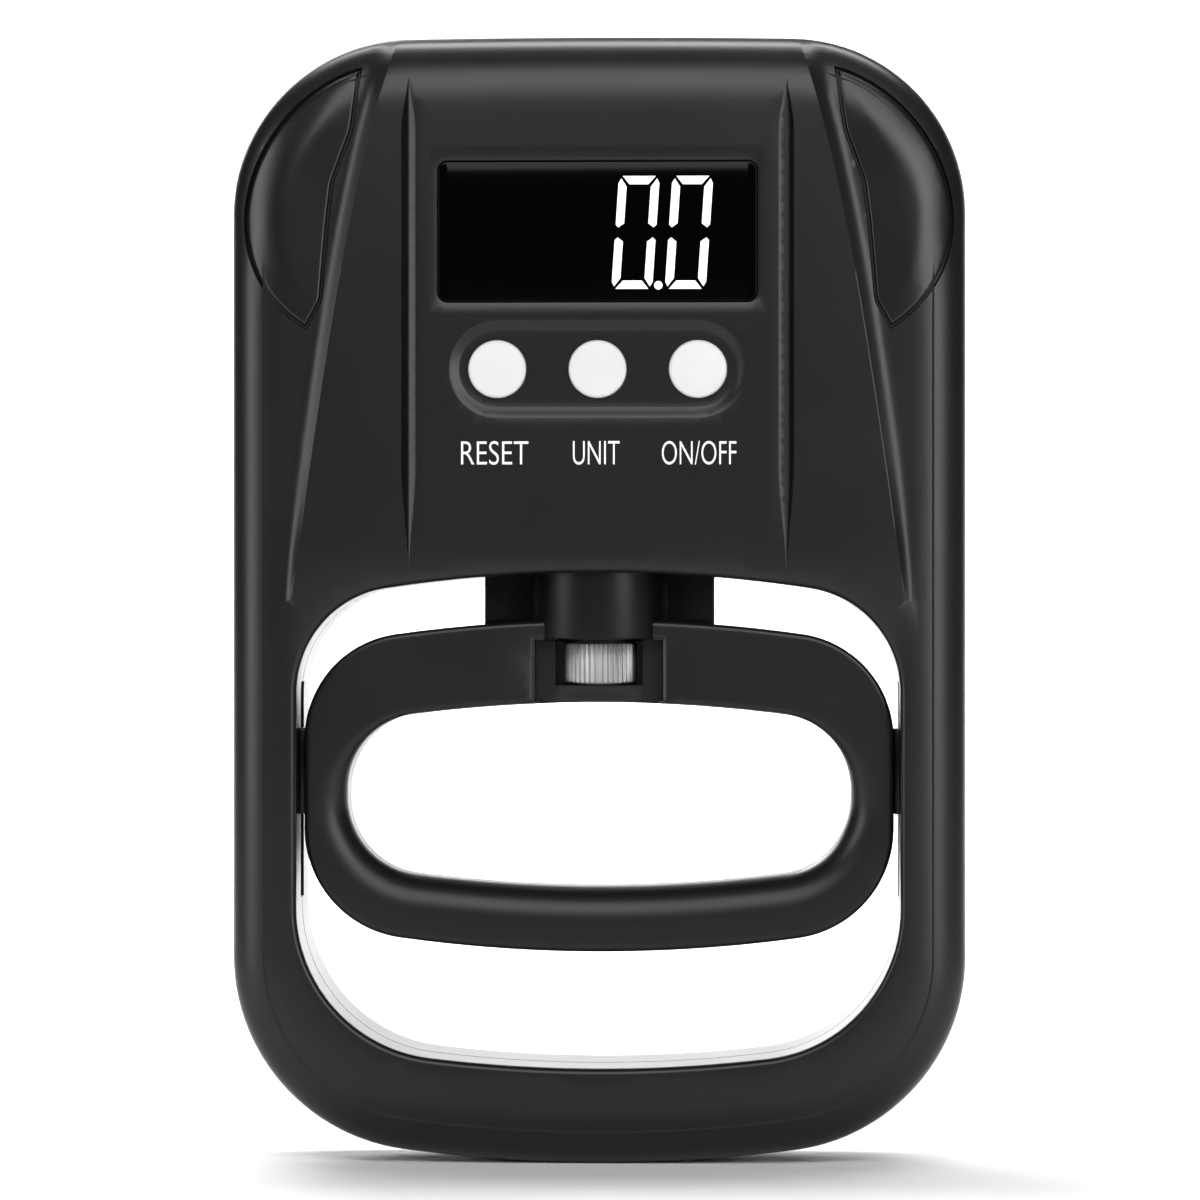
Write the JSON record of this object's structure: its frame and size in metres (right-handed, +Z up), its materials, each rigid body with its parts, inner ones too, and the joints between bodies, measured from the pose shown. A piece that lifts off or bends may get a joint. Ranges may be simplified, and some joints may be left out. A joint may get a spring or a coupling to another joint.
{
  "type": "hand dynamometer",
  "caption": "Electronic grip strength meter: a ring frame with a display head, round buttons and a finger handle on a round neck, set by a knurled wheel.",
  "frame": {"origin": "centre of the footprint under the bottom bar, halfway through the depth", "axes": "+X to the right seen from the display, +Y from the display to the back, +Z up from the palm bar to the display head"},
  "size_m": [0.125, 0.03, 0.192],
  "materials": {
    "black_casing": "satin, fine moulded texture",
    "black_handle": "satin",
    "black_trim": "semi-gloss",
    "display_black": "polished",
    "lcd_glass": "polished",
    "white_plastic": "satin",
    "button_white": "satin",
    "zebra_rubber": "matte",
    "board_green": "solder mask",
    "chip_black": "matte",
    "switch_black": "matte",
    "screw_steel": "zinc plated",
    "cell_aluminium": "machined",
    "white_resin": "cured sealant",
    "wheel_chrome": "nickel plated, knurled",
    "bearing_brass": "turned",
    "acetal": "natural",
    "battery_jacket": "printed foil",
    "contact_nickel": "nickel plated",
    "wire_red": "PVC"
  },
  "bodies": {
    "frame": {"front_casing": "black_casing", "rear_casing": "black_casing", "left_shoulder_insert": "black_trim", "right_shoulder_insert": "black_trim", "display_lens": "display_black", "lcd_panel": "lcd_glass", "lcd_backlight": "white_plastic", "lcd_holder": "white_plastic", "zebra_strip": "zebra_rubber", "main_board": "board_green", "processor_chip": "chip_black", "amplifier_chip": "chip_black", "board_screws": "screw_steel", "reset_switch": "switch_black", "unit_switch": "switch_black", "power_switch": "switch_black", "load_cell": "cell_aluminium", "strain_gauge_cover": "white_resin", "load_cell_bracket": "screw_steel", "load_cell_bolts": "screw_steel", "bracket_screws": "screw_steel", "load_cell_wires": "wire_red", "left_neck_guide": "acetal", "right_neck_guide": "acetal", "casing_screws": "screw_steel", "upper_battery": "battery_jacket", "lower_battery": "battery_jacket", "battery_springs": "contact_nickel", "battery_contacts": "contact_nickel", "battery_wires": "wire_red"},
    "socket": {"load_socket": "screw_steel", "socket_washer": "screw_steel", "socket_nut": "screw_steel"},
    "handle": {"handle_neck": "black_handle", "handle_front": "black_handle", "handle_rear": "black_handle", "left_guide_shoe": "black_trim", "right_guide_shoe": "black_trim", "handle_screws": "screw_steel", "thrust_washer": "bearing_brass", "wheel_bush": "bearing_brass"},
    "adjuster": {"adjusting_screw": "screw_steel", "adjusting_wheel": "wheel_chrome"},
    "reset": {"reset_button": "button_white", "reset_plunger": "switch_black"},
    "unit": {"unit_button": "button_white", "unit_plunger": "switch_black"},
    "power": {"power_button": "button_white", "power_plunger": "switch_black"},
    "door": {"battery_door": "black_casing"}
  },
  "joints": [
    {"name": "grip_squeeze", "type": "slide", "parent": "frame", "child": "socket", "axis": [0, 0, 1], "range_m": [-0.0005, 0], "stiffness_N_per_m": 20000, "deforming": ["load_cell"]},
    {"name": "span_adjust", "type": "slide", "parent": "socket", "child": "handle", "axis": [0, 0, 1], "range_m": [-0.013, 0.0065]},
    {"name": "adjuster_turn", "type": "hinge", "parent": "handle", "child": "adjuster", "pos_m": [0, 0, 0.085], "axis": [0, 0, 1], "range_deg": [-3745, 1873]},
    {"name": "reset_press", "type": "slide", "parent": "frame", "child": "reset", "axis": [0, 1, 0], "range_m": [0, 0.0005], "stiffness_N_per_m": 400, "springref_m": -0.0015},
    {"name": "unit_press", "type": "slide", "parent": "frame", "child": "unit", "axis": [0, 1, 0], "range_m": [0, 0.0005], "stiffness_N_per_m": 400, "springref_m": -0.0015},
    {"name": "power_press", "type": "slide", "parent": "frame", "child": "power", "axis": [0, 1, 0], "range_m": [0, 0.0005], "stiffness_N_per_m": 400, "springref_m": -0.0015},
    {"name": "battery_door_swing", "type": "hinge", "parent": "frame", "child": "door", "pos_m": [0, 0.0141, 0.178], "axis": [1, 0, 0], "range_deg": [0, 80]}
  ],
  "couplings": [
    {"joint": "adjuster_turn", "follows": "span_adjust", "rad_per_m": 5026.5}
  ]
}
